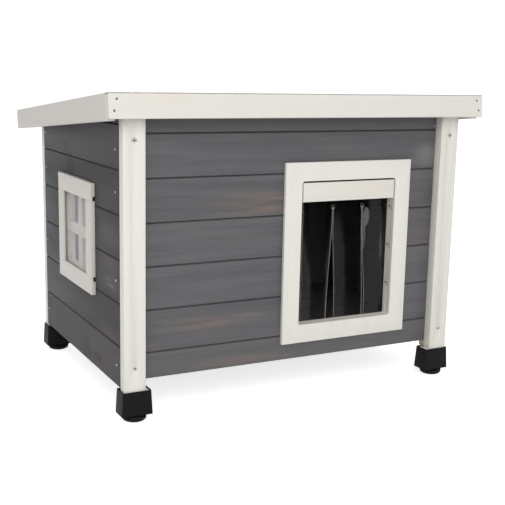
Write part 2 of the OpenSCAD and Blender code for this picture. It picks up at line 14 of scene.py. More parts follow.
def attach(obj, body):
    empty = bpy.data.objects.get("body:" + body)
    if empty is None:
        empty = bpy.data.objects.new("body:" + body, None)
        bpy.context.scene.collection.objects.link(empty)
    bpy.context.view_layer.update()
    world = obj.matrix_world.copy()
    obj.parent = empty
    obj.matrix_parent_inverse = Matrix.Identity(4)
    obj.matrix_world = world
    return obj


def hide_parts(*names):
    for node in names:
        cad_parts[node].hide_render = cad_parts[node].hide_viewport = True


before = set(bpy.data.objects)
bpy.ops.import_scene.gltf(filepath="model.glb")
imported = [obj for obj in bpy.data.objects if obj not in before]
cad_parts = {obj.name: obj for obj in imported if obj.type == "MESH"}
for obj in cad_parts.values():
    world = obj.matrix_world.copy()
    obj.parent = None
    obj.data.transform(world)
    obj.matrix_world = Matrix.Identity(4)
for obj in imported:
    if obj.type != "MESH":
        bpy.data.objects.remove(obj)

LOG = logging.getLogger("cat_house")
Triple = Tuple[float, float, float]
Socket = bpy.types.NodeSocket
Feed = Union[Socket, float, Sequence[float]]
# A spot's middle along and up, its half width and half height in metres, and its strength.
Spot = Tuple[float, float, float, float, float]

WHITE = (1.0, 1.0, 1.0, 1.0)
CORNERS = ("front_left", "front_right", "rear_left", "rear_right")
# What the "bare" mark says on a sawn edge, and on a side that looks inwards.
SAWN = 0.55
INSIDE = 1.0


class Axis(Enum):
    """A direction of the shared frame: across the house, from front to rear, or upwards."""

    X = 0
    Y = 1
    Z = 2


def tone(shade: Triple) -> Tuple[float, float, float, float]:
    """Turns a display colour into the linear colour that a shader takes.

    Args:
        shade: its red, green and blue, from 0 to 255.

    Returns:
        The linear red, green and blue, and 1 for opaque.
    """

    def linear(value: float) -> float:
        """One channel of the display curve, undone."""
        value /= 255.0
        return value / 12.92 if value <= 0.04045 else ((value + 0.055) / 1.055) ** 2.4

    red, green, blue = (linear(value) for value in shade)
    return red, green, blue, 1.0


class Graph:
    """The nodes of a material or a world, laid one after another by short calls."""

    def __init__(self, name: str, world: bool = False) -> None:
        """Starts an empty material or world.

        Args:
            name: its name.
            world: whether it is a world.
        """
        self.kind = "World" if world else "Material"
        self.owner = (bpy.data.worlds if world else bpy.data.materials).new(name)
        self.owner.use_nodes = True
        self.tree = self.owner.node_tree
        self.tree.nodes.clear()

    def feed(self, socket: Socket, value: Feed) -> None:
        """Links a socket to another one, or sets its constant.

        Args:
            socket: the input that is fed.
            value: the socket that feeds it, or the constant.
        """
        if isinstance(value, bpy.types.NodeSocket):
            self.tree.links.new(value, socket)
        else:
            socket.default_value = value

    def add(self, kind: str, inputs: Optional[Dict[object, Feed]] = None,
            **settings: object) -> bpy.types.Node:
        """Adds a node.

        Args:
            kind: the node's type.
            inputs: socket names or numbers, each with a constant or the socket that feeds it.
            settings: the node's own properties.

        Returns:
            The new node.
        """
        node = self.tree.nodes.new(kind)
        for key, value in settings.items():
            setattr(node, key, value)
        for key, value in (inputs or {}).items():
            self.feed(node.inputs[key], value)
        return node

    def end(self, shader: bpy.types.Node) -> None:
        """Ends the graph in a shader."""
        self.add("ShaderNodeOutput" + self.kind, {"Surface": shader.outputs[0]})

    def seen(self) -> Socket:
        """1 where the camera sees something directly, mirrored or through glass."""
        path = self.add("ShaderNodeLightPath").outputs
        return self.most(self.most(path["Is Camera Ray"], path["Is Glossy Ray"]),
                         path["Is Transmission Ray"])

    def place(self) -> Socket:
        """The point of the surface, in the object's own metres."""
        return self.add("ShaderNodeTexCoord").outputs["Object"]

    def mark(self, name: str) -> Socket:
        """A value that the mesh carries on its faces."""
        return self.add("ShaderNodeAttribute", attribute_name=name).outputs["Fac"]

    def number(self, first: Feed, second: Feed, operation: str) -> Socket:
        """One step of arithmetic on two numbers."""
        return self.add("ShaderNodeMath", {0: first, 1: second}, operation=operation).outputs[0]

    def plus(self, first: Feed, second: Feed) -> Socket:
        """The sum of two numbers."""
        return self.number(first, second, "ADD")

    def times(self, first: Feed, second: Feed) -> Socket:
        """The product of two numbers."""
        return self.number(first, second, "MULTIPLY")

    def most(self, first: Feed, second: Feed) -> Socket:
        """The larger of two numbers."""
        return self.number(first, second, "MAXIMUM")

    def vector(self, first: Feed, second: Feed, operation: str = "MULTIPLY") -> Socket:
        """One step of arithmetic on two vectors."""
        return self.add("ShaderNodeVectorMath", {0: first, 1: second}, operation=operation).outputs[0]

    def cloud(self, place: Feed, scale: float, detail: float, rough: float,
              twist: float = 0.0) -> Socket:
        """Soft noise from 0 to 1."""
        return self.add("ShaderNodeTexNoise", {
            "Vector": place, "Scale": scale, "Detail": detail, "Roughness": rough,
            "Distortion": twist}).outputs["Fac"]

    def step(self, value: Feed, low: float, high: float, start: float = 0.0,
             end: float = 1.0) -> Socket:
        """Spreads low..high smoothly over start..end, and holds the ends."""
        return self.add("ShaderNodeMapRange", {
            "Value": value, "From Min": low, "From Max": high, "To Min": start, "To Max": end},
            interpolation_type="SMOOTHSTEP").outputs["Result"]

    def blend(self, first: Feed, second: Feed, share: Feed) -> Socket:
        """Mixes two colours by a share of the second."""
        return self.add("ShaderNodeMix", {0: share, 6: first, 7: second}, data_type="RGBA",
                        clamp_result=True).outputs[2]

    def tint(self, colour: Feed, shade: Triple, share: Feed) -> Socket:
        """Mixes a display colour into a colour, by a share of the display colour."""
        return self.blend(colour, tone(shade), share)

    def spots(self, place: Socket, spots: Sequence[Spot], soft: float,
              along: Axis = Axis.X) -> Socket:
        """Soft oval spots on an upright face.

        Args:
            place: the point of the surface.
            spots: the spots.
            soft: share of each spot that its soft edge takes.
            along: the level axis that the face follows.

        Returns:
            The strongest spot at the point.
        """
        best: Feed = 0.0
        for level, high, wide, tall, strength in spots:
            middle, scales = [0.0, 0.0, high], [0.0, 0.0, 1.0 / tall]
            middle[along.value], scales[along.value] = level, 1.0 / wide
            near = self.vector(self.vector(place, tuple(middle), "SUBTRACT"), tuple(scales))
            far = self.add("ShaderNodeVectorMath", {0: near}, operation="LENGTH").outputs["Value"]
            best = self.most(best, self.step(far, 1.0 - soft, 1.0, strength, 0.0))
        return best

    def window(self, place: Socket, middle: Triple, half: Triple, edge: float = 0.015) -> Socket:
        """1 inside a box around a middle, 0 outside it.

        Args:
            place: the point of the surface.
            middle: the box's middle, in metres.
            half: the box's half sizes, in metres.
            edge: share of the half sizes over which the value falls.

        Returns:
            The value's socket.
        """
        near = self.vector(self.vector(self.vector(place, middle, "SUBTRACT"), half, "DIVIDE"),
                           (0.0, 0.0, 0.0), "ABSOLUTE")
        parts = self.add("ShaderNodeSeparateXYZ", {0: near}).outputs
        far = self.most(self.most(parts[0], parts[1]), parts[2])
        return self.step(far, 1.0 - edge, 1.0, 1.0, 0.0)

    def bump(self, height: Feed, depth: float, strength: float) -> Socket:
        """Turns a height from 0 to 1 into a normal, by the relief's depth in metres."""
        return self.add("ShaderNodeBump", {"Height": height, "Distance": depth,
                                           "Strength": strength}).outputs["Normal"]

    def surface(self, **inputs: Feed) -> bpy.types.Material:
        """Ends the graph in a principled shader.

        Args:
            inputs: the shader's inputs, with underscores for the spaces in their names.

        Returns:
            The finished material.
        """
        self.end(self.add("ShaderNodeBsdfPrincipled", {
            key.replace("_", " "): value for key, value in inputs.items()}))
        return self.owner


class Finish(Protocol):
    """A recipe that makes a material."""

    def build(self) -> bpy.types.Material:
        """Makes the material.

        Returns:
            The material.
        """


@dataclass(frozen=True)
class Grain:
    """Softwood grain that runs along one axis, shifted from board to board.

    Its fibres have the scale fineness / stretch along it, per metre.
    """

    along: Axis
    fineness: float = 900.0
    stretch: float = 14.0
    knots_per_metre: float = 4.0
    knot_slimness: float = 3.2
    knot_rarity: float = 0.52
    ring_count: float = 46.0
    ring_swirl: float = 0.22
    board_shift: Triple = (17.3, 9.1, 23.7)

    def lay(self, graph: Graph) -> Dict[str, Socket]:
        """Lays the grain into a graph.

        Args:
            graph: the material's nodes.

        Returns:
            Sockets from 0 to 1: streaks, rings, fibres, knots, the halos round the knots,
            blotches, and the board's number.
        """
        board = graph.mark("board")
        shift = graph.add("ShaderNodeVectorMath", {0: self.board_shift, "Scale": board},
                          operation="SCALE").outputs[0]
        place = graph.vector(graph.place(), shift, "ADD")

        def stretched(along: float, across: float) -> Socket:
            """The place, scaled apart along and across the grain."""
            scales = tuple(along if axis is self.along else across for axis in Axis)
            return graph.vector(place, scales)

        knot_place = stretched(self.knots_per_metre, self.knots_per_metre * self.knot_slimness)
        cells = graph.add("ShaderNodeTexVoronoi", {"Vector": knot_place, "Scale": 1.0,
                                                   "Randomness": 0.9})
        pick = graph.add("ShaderNodeSeparateColor", {"Color": cells.outputs["Color"]}).outputs[0]
        chosen = graph.step(pick, self.knot_rarity, self.knot_rarity + 0.02)
        near = cells.outputs["Distance"]
        knots = graph.times(graph.step(near, 0.05, 0.1, 1.0, 0.0), chosen)
        swirl = graph.times(graph.step(near, 0.0, 0.4, 1.0, 0.0), chosen)
        across = self.fineness / self.stretch
        broad = graph.cloud(stretched(across / 26.0, across * 0.42), 1.0, 2.0, 0.45, 0.35)
        wave = graph.times(graph.plus(broad, graph.times(swirl, self.ring_swirl)), self.ring_count)
        rings = graph.plus(graph.times(graph.number(wave, 0.0, "SINE"), 0.5), 0.5)
        return {
            "streaks": graph.cloud(stretched(across / 18.0, across), 1.0, 5.0, 0.6, 0.3),
            "rings": rings,
            "fibres": graph.cloud(stretched(across, across * 16.0), 1.0, 3.0, 0.65),
            "knots": knots,
            "halo": graph.times(graph.step(near, 0.06, 0.3, 1.0, 0.0), chosen),
            "blotches": graph.cloud(stretched(5.0, 17.0), 1.0, 3.0, 0.6, 0.8),
            "board": board,
        }


@dataclass(frozen=True)
class Stain:
    """Grey see-through stain over softwood, whose brown grain and knots show through.

    Painted light: the last field holds the middle and the half sizes of the box that is seen through
    the window's pane, where the boards are coloured near white as if lit.
    """

    name: str
    grain: Grain
    body: Triple = (97.0, 97.0, 99.0)
    deep: Triple = (83.0, 83.0, 86.0)
    light: Triple = (108.0, 107.0, 106.0)
    warm: Triple = (120.0, 102.0, 98.0)
    knot: Triple = (78.0, 68.0, 64.0)
    brown: Triple = (138.0, 116.0, 105.0)
    lighter_tone: Triple = (126.0, 126.0, 128.0)
    joint: Triple = (50.0, 49.0, 49.0)
    sawn: Triple = (244.0, 238.0, 228.0)
    sawn_fibre: Triple = (196.0, 186.0, 172.0)
    # Painted shade: near-black tones for the sides that look into the cabin.
    inside: Triple = (44.0, 42.0, 40.0)
    inside_shade_ring: Triple = (36.0, 34.0, 33.0)
    painted_light_through_pane: Triple = (214.0, 208.0, 198.0)
    gloss: float = 0.35
    relief: float = 0.00022
    browned: Tuple[Spot, ...] = ()
    smudged: Tuple[Spot, ...] = ()
    lightened: Tuple[Spot, ...] = ()
    painted_light_box: Optional[Tuple[Triple, Triple]] = None

    def marks(self, graph: Graph, grain: Dict[str, Socket], colour: Socket) -> Socket:
        """Lays the brown marks, the lighter patches and the smudged marks; on the front boards the
        lighter patch is painted light.

        Args:
            graph: the material's nodes.
            grain: the sockets of the grain.
            colour: the stain's colour so far.

        Returns:
            The colour with its marks.
        """
        if self.browned:
            ragged = graph.times(graph.step(grain["streaks"], 0.36, 0.6, 0.25, 1.0),
                                 graph.step(grain["fibres"], 0.3, 0.6, 0.6, 1.0))
            browned = graph.spots(graph.place(), self.browned, 0.9, self.grain.along)
            colour = graph.tint(colour, self.brown, graph.times(browned, ragged))
        # Lighter patches: on the front boards this is painted light over the shade beside the
        # doorway.
        for spots, shade, soft in ((self.lightened, self.lighter_tone, 0.9), (self.smudged, self.knot, 0.8)):
            if spots:
                share = graph.spots(graph.place(), spots, soft, self.grain.along)
                colour = graph.tint(colour, shade, share)
        return colour

    def build(self) -> bpy.types.Material:
        """Makes the material.

        Returns:
            The material.
        """
        graph = Graph(self.name)
        grain = self.grain.lay(graph)
        colour = graph.tint(tone(self.deep), self.body, graph.step(grain["streaks"], 0.3, 0.62))
        colour = graph.tint(colour, self.light, graph.step(grain["board"], 0.2, 1.0, 0.0, 0.2))
        colour = graph.tint(colour, self.deep, graph.times(grain["rings"], 0.22))
        colour = graph.tint(colour, self.warm, graph.step(grain["blotches"], 0.58, 0.78, 0.0, 0.4))
        colour = graph.tint(colour, self.warm, graph.times(grain["halo"], 0.3))
        colour = graph.tint(colour, self.knot, graph.times(grain["knots"], 0.5))
        colour = self.marks(graph, grain, colour)
        colour = graph.tint(colour, self.deep, graph.step(grain["fibres"], 0.52, 0.75, 0.0, 0.35))
        colour = graph.tint(colour, self.joint, graph.times(graph.mark("groove"), 0.4))
        bare = graph.mark("bare")
        # Painted shade: the sides that look into the cabin are near black, standing in for the shade
        # inside it.
        wood = graph.tint(tone(self.inside), self.inside_shade_ring, grain["rings"])
        # Sawn edges: partly the raw wood of the cut, partly painted light, near white where the jambs
        # lie in shade.
        sawn = graph.tint(tone(self.sawn), self.sawn_fibre, graph.times(grain["fibres"], 0.25))
        # Painted light: the boards behind the window's pane, in the frame's shade, are coloured near
        # white.
        if self.painted_light_box is not None:
            painted_light_box = graph.window(graph.place(), *self.painted_light_box)
            colour = graph.tint(colour, self.painted_light_through_pane, painted_light_box)
        colour = graph.blend(colour, sawn, graph.step(bare, SAWN - 0.45, SAWN - 0.15))
        colour = graph.blend(colour, wood, graph.step(bare, SAWN + 0.15, INSIDE - 0.1))
        height = graph.plus(graph.times(grain["fibres"], 0.5), graph.times(grain["rings"], 0.5))
        normal = graph.bump(height, self.relief, 0.5)
        rough = graph.step(grain["streaks"], 0.2, 0.8, 0.52, 0.68)
        return graph.surface(Base_Color=colour, Roughness=rough, Normal=normal,
                             Specular_IOR_Level=self.gloss)


@dataclass(frozen=True)
class Paint:
    """Thin off-white paint over softwood: the grain telegraphs through, and edges are rubbed.

    Painted shade: what lies above a given height, in metres, is coloured dark, like the shade in a
    gap.
    """

    name: str
    grain: Grain
    body: Triple = (236.0, 233.0, 226.0)
    shade: Triple = (226.0, 222.0, 214.0)
    halo: Triple = (228.0, 212.0, 188.0)
    knot: Triple = (200.0, 184.0, 160.0)
    rubbed: Triple = (205.0, 190.0, 168.0)
    gap_shade: Triple = (34.0, 32.0, 30.0)
    relief: float = 0.00016
    painted_shade_above: Optional[float] = None

    def build(self) -> bpy.types.Material:
        """Makes the material.

        Returns:
            The material.
        """
        graph = Graph(self.name)
        grain = self.grain.lay(graph)
        colour = graph.tint(tone(self.body), self.shade,
                            graph.step(grain["streaks"], 0.45, 0.8, 0.0, 0.5))
        colour = graph.tint(colour, self.shade, graph.times(grain["rings"], 0.12))
        colour = graph.tint(colour, self.halo, graph.times(grain["halo"], 0.22))
        colour = graph.tint(colour, self.knot, graph.times(grain["knots"], 0.35))
        wear = graph.times(graph.step(graph.cloud(graph.place(), 130.0, 4.0, 0.7), 0.5, 0.72),
                           graph.mark("edge"))
        colour = graph.tint(colour, self.rubbed, graph.times(wear, 0.5))
        # Painted shade: dark above the given height, as in the gap over the header.
        if self.painted_shade_above is not None:
            high = graph.add("ShaderNodeSeparateXYZ", {0: graph.place()}).outputs["Z"]
            colour = graph.tint(colour, self.gap_shade, graph.step(high, self.painted_shade_above,
                                                             self.painted_shade_above + 0.0003))
        height = graph.plus(graph.times(grain["fibres"], 0.6), graph.times(grain["rings"], 0.4))
        normal = graph.bump(height, self.relief, 0.45)
        return graph.surface(Base_Color=colour, Normal=normal, Specular_IOR_Level=0.4,
                             Roughness=graph.step(grain["fibres"], 0.3, 0.7, 0.42, 0.56))


@dataclass(frozen=True)
class BareWood:
    """Planed softwood without any finish."""

    name: str
    grain: Grain
    body: Triple = (204.0, 190.0, 170.0)
    ring: Triple = (178.0, 158.0, 132.0)
    streak: Triple = (192.0, 174.0, 150.0)
    knot: Triple = (118.0, 90.0, 66.0)
    halo: Triple = (156.0, 126.0, 94.0)
    relief: float = 0.00015

    def build(self) -> bpy.types.Material:
        """Makes the material.

        Returns:
            The material.
        """
        graph = Graph(self.name)
        grain = self.grain.lay(graph)
        colour = graph.tint(tone(self.body), self.ring,
                            graph.step(grain["rings"], 0.2, 0.95, 0.0, 0.7))
        colour = graph.tint(colour, self.streak, graph.step(grain["streaks"], 0.4, 0.7))
        colour = graph.tint(colour, self.knot, graph.times(grain["knots"], 0.85))
        colour = graph.tint(colour, self.halo, graph.times(grain["halo"], 0.4))
        normal = graph.bump(grain["fibres"], self.relief, 0.5)
        return graph.surface(Base_Color=colour, Roughness=0.62, Normal=normal)


@dataclass(frozen=True)
class MouldedPlastic:
    """Black moulded plastic with a fine matt texture."""

    name: str
    body: Triple = (23.0, 23.0, 23.0)
    rubbed: Triple = (44.0, 44.0, 43.0)
    scuffed: Triple = (34.0, 34.0, 33.0)
    relief: float = 0.00012

    def build(self) -> bpy.types.Material:
        """Makes the material.

        Returns:
            The material.
        """
        graph = Graph(self.name)
        place = graph.place()
        pores = graph.cloud(place, 1500.0, 3.0, 0.6)
        scuffs = graph.step(graph.cloud(place, 90.0, 5.0, 0.7), 0.55, 0.78)
        # Lighter edges: partly rubbed wear, partly painted highlight.
        colour = graph.tint(tone(self.body), self.rubbed, graph.times(scuffs, graph.mark("edge")))
        colour = graph.tint(colour, self.scuffed, graph.times(scuffs, 0.5))
        return graph.surface(Base_Color=colour, Normal=graph.bump(pores, self.relief, 0.6),
                             Roughness=graph.step(scuffs, 0.0, 1.0, 0.5, 0.65),
                             Specular_IOR_Level=0.08)


@dataclass(frozen=True)
class Vinyl:
    """Clear flexible sheet: painted reflections in bands where it bulges, and painted highlights
    along its cut edges and round its holes.
    """

    name: str
    bands: Tuple[Spot, ...]
    holes: Tuple[Triple, ...]
    clear: Triple = (52.0, 53.0, 53.0)
    painted_reflection: Triple = (228.0, 231.0, 230.0)
    cut: Triple = (196.0, 192.0, 184.0)
    ring: float = 0.0009
    veil: float = 0.03
    relief: float = 0.0004

    def build(self) -> bpy.types.Material:
        """Makes the material.

        Returns:
            The material.
        """
        graph = Graph(self.name)
        place = graph.place()
        wander = graph.vector(graph.add("ShaderNodeTexNoise", {
            "Vector": place, "Scale": 14.0, "Detail": 2.0}).outputs["Color"],
            (0.5, 0.5, 0.5), "SUBTRACT")
        moved = graph.vector(place, graph.vector(wander, (0.012, 0.0, 0.02)), "ADD")
        # Painted reflection: whitish bands where the sheet bulges; the fine specks below are haze.
        reflection_share = graph.spots(moved, self.bands, 0.3)
        specks = graph.step(graph.cloud(place, 900.0, 2.0, 0.5), 0.74, 0.8, 0.0, 0.2)
        reflection_and_haze = graph.most(reflection_share, specks)
        rim = graph.mark("rim")
        # Painted highlight: a lighter ring round each hole.
        for across, high, radius in self.holes:
            half = radius + self.ring
            rim = graph.most(rim, graph.spots(place, ((across, high, half, half, 0.5),), 0.1))
        colour = graph.tint(tone(self.clear), self.painted_reflection, reflection_and_haze)
        # Painted highlight: the cut edges and the bands along them are lighter.
        colour = graph.tint(colour, self.cut, graph.step(rim, 0.0, 0.3))
        film = graph.plus(graph.times(reflection_and_haze, 0.26), self.veil)
        edges = graph.times(rim, 0.6)
        ripple = graph.cloud(graph.vector(place, (1.0, 1.0, 0.35)), 60.0, 2.0, 0.5)
        return graph.surface(Base_Color=colour, IOR=1.45, Roughness=0.1, Specular_IOR_Level=0.2,
                             Alpha=graph.most(film, edges),
                             Normal=graph.bump(ripple, self.relief, 0.5))


@dataclass(frozen=True)
class Acrylic:
    """Stiff clear window pane, hazed by weather; its near-white colour is painted reflection of the
    white surroundings.
    """

    name: str
    body: Triple = (238.0, 239.0, 238.0)
    hazed: Triple = (216.0, 219.0, 219.0)

    def build(self) -> bpy.types.Material:
        """Makes the material.

        Returns:
            The material.
        """
        graph = Graph(self.name)
        smear = graph.cloud(graph.place(), 24.0, 5.0, 0.65, 0.6)
        colour = graph.tint(tone(self.body), self.hazed, graph.step(smear, 0.35, 0.7))
        return graph.surface(Base_Color=colour, IOR=1.49, Alpha=0.2,
                             Roughness=graph.step(smear, 0.4, 0.8, 0.08, 0.2))


@dataclass(frozen=True)
class MineralFelt:
    """Roofing felt with pressed mineral granules."""

    name: str
    dark: Triple = (172.0, 174.0, 172.0)
    light: Triple = (212.0, 213.0, 210.0)
    weathered: Triple = (160.0, 162.0, 160.0)
    relief: float = 0.0006

    def build(self) -> bpy.types.Material:
        """Makes the material.

        Returns:
            The material.
        """
        graph = Graph(self.name)
        place = graph.place()
        grit = graph.add("ShaderNodeTexVoronoi", {"Vector": place, "Scale": 620.0})
        shade = graph.add("ShaderNodeSeparateColor", {"Color": grit.outputs["Color"]}).outputs[0]
        colour = graph.tint(tone(self.dark), self.light, graph.step(shade, 0.1, 0.95))
        colour = graph.tint(colour, self.weathered, graph.step(
            graph.cloud(place, 9.0, 5.0, 0.6), 0.45, 0.75, 0.0, 0.5))
        height = graph.step(grit.outputs["Distance"], 0.0, 0.6, 1.0, 0.0)
        return graph.surface(Base_Color=colour, Roughness=0.9,
                             Normal=graph.bump(height, self.relief, 0.8))


@dataclass(frozen=True)
class ZincPlate:
    """Zinc-plated steel, brushed by handling, with painted shade in the recesses of the screws'
    heads.
    """

    name: str
    body: Triple = (192.0, 192.0, 188.0)
    bloom: Triple = (150.0, 149.0, 145.0)
    recess: Triple = (52.0, 49.0, 45.0)
    relief: float = 0.00005

    def build(self) -> bpy.types.Material:
        """Makes the material.

        Returns:
            The material.
        """
        graph = Graph(self.name)
        bloom = graph.cloud(graph.place(), 420.0, 4.0, 0.65)
        colour = graph.tint(tone(self.body), self.bloom, graph.step(bloom, 0.4, 0.7))
        # Painted shade: the recesses in the screws' heads are near black.
        colour = graph.tint(colour, self.recess, graph.mark("recess"))
        return graph.surface(Base_Color=colour, Metallic=1.0,
                             Normal=graph.bump(bloom, self.relief, 0.4),
                             Roughness=graph.step(bloom, 0.3, 0.7, 0.28, 0.46))


class Bench:
    """Keeps the finishes, and dresses and reports each piece."""

    def __init__(self) -> None:
        """Starts with no finish made."""
        self.made: Dict[Finish, bpy.types.Material] = {}

    def finish(self, recipe: Finish) -> bpy.types.Material:
        """Gives the material of a finish, made on its first use.

        Args:
            recipe: the finish.

        Returns:
            Its material.
        """
        if recipe not in self.made:
            self.made[recipe] = recipe.build()
        return self.made[recipe]

    def dress(self, mesh: bpy.types.Mesh, name: str, recipe: Finish, body: str,
              nodes: Sequence[str]) -> bpy.types.Object:
        """Puts a finished mesh into the scene.

        Args:
            mesh: the piece's mesh, with its place in it.
            name: the piece's name.
            recipe: its finish.
            body: the body that carries it.
            nodes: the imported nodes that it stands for.

        Returns:
            The piece.
        """
        piece = bpy.data.objects.new(name, mesh)
        bpy.context.scene.collection.objects.link(piece)
        mesh.materials.append(self.finish(recipe))
        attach(piece, body)
        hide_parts(*nodes)
        LOG.info("%s: %d faces, on %s", name, len(mesh.polygons), body)
        return piece


def lot(number: int, seed: int) -> float:
    """A number from 0 to 1 that looks random but follows from a board's number and a seed."""
    return abs(math.modf(math.sin(number * 12.9898 + seed * 78.233) * 43758.5453)[0])


def islands(shape: bmesh.types.BMesh) -> List[List[bmesh.types.BMFace]]:
    """Groups a shape's faces into its separate solids.

    Args:
        shape: the shape, with its faces numbered.

    Returns:
        The faces of each solid, in the order of the lowest face numbers.
    """
    left = set(shape.faces)
    groups: List[List[bmesh.types.BMFace]] = []
    while left:
        start = min(left, key=lambda face: face.index)
        group, waiting = [start], [start]
        left.discard(start)
        while waiting:
            face = waiting.pop()
            for loop in face.loops:
                for other in loop.edge.link_faces:
                    if other in left:
                        left.discard(other)
                        group.append(other)
                        waiting.append(other)
        groups.append(group)
    return groups


def mark_rims(shape: bmesh.types.BMesh, narrow: float = 0.0012) -> None:
    """Marks the upright cut edges and the round holes of a sheet that hangs across the house.

    Args:
        shape: the sheet.
        narrow: widest face across the house that still belongs to an edge, in metres.
    """
    layers = shape.faces.layers.float
    rim = layers.get("rim") or layers.new("rim")
    for face in shape.faces:
        across = [vert.co.x for vert in face.verts]
        if abs(face.normal.y) < 0.5 and max(across) - min(across) < narrow:
            face[rim] = 1.0


def mark_recess(shape: bmesh.types.BMesh, rim: float = 0.00005, depth: float = 0.0011,
                share: float = 0.6) -> None:
    """Marks the recess in the heads of screws that are driven from the front or the rear.

    Args:
        shape: the screws.
        rim: depth in metres down to which a face belongs to the head's outer side.
        depth: how far the recess reaches into a head, in metres.
        share: the recess's reach from the middle, as a share of the head's radius.
    """
    recess = shape.faces.layers.float.new("recess")
    shape.faces.index_update()
    for group in islands(shape):
        corners = [vert.co for face in group for vert in face.verts]
        across, high = [corner.x for corner in corners], [corner.z for corner in corners]
        middle = (min(across) + max(across)) / 2.0, (min(high) + max(high)) / 2.0
        radius, outside = (max(across) - min(across)) / 2.0, max(abs(corner.y) for corner in corners)
        for face in group:
            centre = face.calc_center_median()
            away = math.hypot(centre.x - middle[0], centre.z - middle[1])
            if away < share * radius and rim < outside - abs(centre.y) < depth:
                face[recess] = 1.0


def to_mesh(shape: bmesh.types.BMesh, name: str, crease: float) -> bpy.types.Mesh:
    """Turns a shape into a mesh that shades smoothly, but for its sharp edges.

    Args:
        shape: the shape, which is freed.
        name: the mesh's name.
        crease: the angle in degrees from which an edge is sharp.

    Returns:
        The mesh.
    """
    mesh = bpy.data.meshes.new(name)
    shape.to_mesh(mesh)
    shape.free()
    mesh.shade_smooth()
    mesh.set_sharp_from_angle(angle=math.radians(crease))
    return mesh


@dataclass
class Joinery:
    """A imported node's pieces, with eased edges and with marks on their faces for the finish.

    Corners within weld metres are joined, and so are faces within flat degrees. Edges are eased
    from corner degrees on if they are longer than shortest, and shade sharply from crease
    degrees on.
    """

    node: str
    recipe: Finish
    slot: str
    body: str = "house"
    ease: float = 0.0005
    rounds: int = 2
    shortest: float = 0.004
    weld: float = 1e-6
    flat: float = 0.5
    corner: float = 25.0
    crease: float = 32.0
    outward: Optional[Triple] = None
    rims: bool = False
    recess: bool = False
    seed: int = 1

    def shape(self) -> bpy.types.Mesh:
        """Builds the mesh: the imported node's merged copy with its long edges eased.

        Returns:
            The mesh.
        """
        shape = bmesh.new()
        shape.from_mesh(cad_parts[self.node].data)
        bmesh.ops.remove_doubles(shape, verts=shape.verts, dist=self.weld)
        bmesh.ops.dissolve_limit(shape, angle_limit=math.radians(self.flat), verts=shape.verts,
                                 edges=shape.edges)
        shape.faces.index_update()
        board = shape.faces.layers.float.new("board")
        edge = shape.faces.layers.float.new("edge")
        for number, group in enumerate(islands(shape), start=1):
            share = lot(number, self.seed)
            for face in group:
                face[board] = share
        sharp = [line for line in shape.edges if line.is_manifold
                 and line.calc_face_angle(0.0) > math.radians(self.corner)
                 and line.calc_length() > self.shortest]
        if self.ease > 0.0 and sharp:
            made = bmesh.ops.bevel(shape, geom=sharp, offset=self.ease, segments=self.rounds,
                                   profile=0.5, affect="EDGES", material=-1, clamp_overlap=False)
            for face in made["faces"]:
                face[edge] = 1.0
        if self.outward is not None:
            self.mark_bare(shape)
        if self.rims:
            mark_rims(shape)
        if self.recess:
            mark_recess(shape)
        return to_mesh(shape, self.node, self.crease)

    def mark_bare(self, shape: bmesh.types.BMesh, skin: float = 0.0025, share: float = 0.6,
                  bevel: Tuple[float, float] = (0.3, 0.93)) -> None:
        """Marks sawn edges, the grooves between boards, and the side that looks inwards.

        Args:
            shape: the boards.
            skin: depth in metres down to which a face belongs to the outer side.
            share: share of the boards' thickness that a face of a sawn edge spans.
            bevel: least and greatest share by which a groove's face looks outwards.
        """
        bare = shape.faces.layers.float.new("bare")
        groove = shape.faces.layers.float.new("groove")
        out = Vector(self.outward)
        depths = [vert.co.dot(out) for vert in shape.verts]
        outermost, whole = max(depths), share * (max(depths) - min(depths))
        for face in shape.faces:
            depths = [vert.co.dot(out) for vert in face.verts]
            if outermost - face.calc_center_median().dot(out) > skin:
                face[bare] = SAWN if max(depths) - min(depths) > whole else INSIDE
            elif bevel[0] < face.normal.dot(out) < bevel[1]:
                face[groove] = 1.0

    def build(self, bench: Bench) -> bpy.types.Object:
        """Makes the piece and hangs it on its body."""
        return bench.dress(self.shape(), self.node + "_piece", self.recipe, self.body,
                           [self.node])


def inside_shade_stain(grain: Grain) -> Stain:
    """Painted shade: a near-black stain on the pieces inside the cabin, standing in for the shade
    there.
    """
    return Stain("inside_shade_stain_" + grain.along.name.lower(), grain, body=(46.0, 44.0, 42.0),
                 deep=(38.0, 36.0, 35.0), warm=(54.0, 47.0, 42.0), knot=(34.0, 29.0, 26.0))


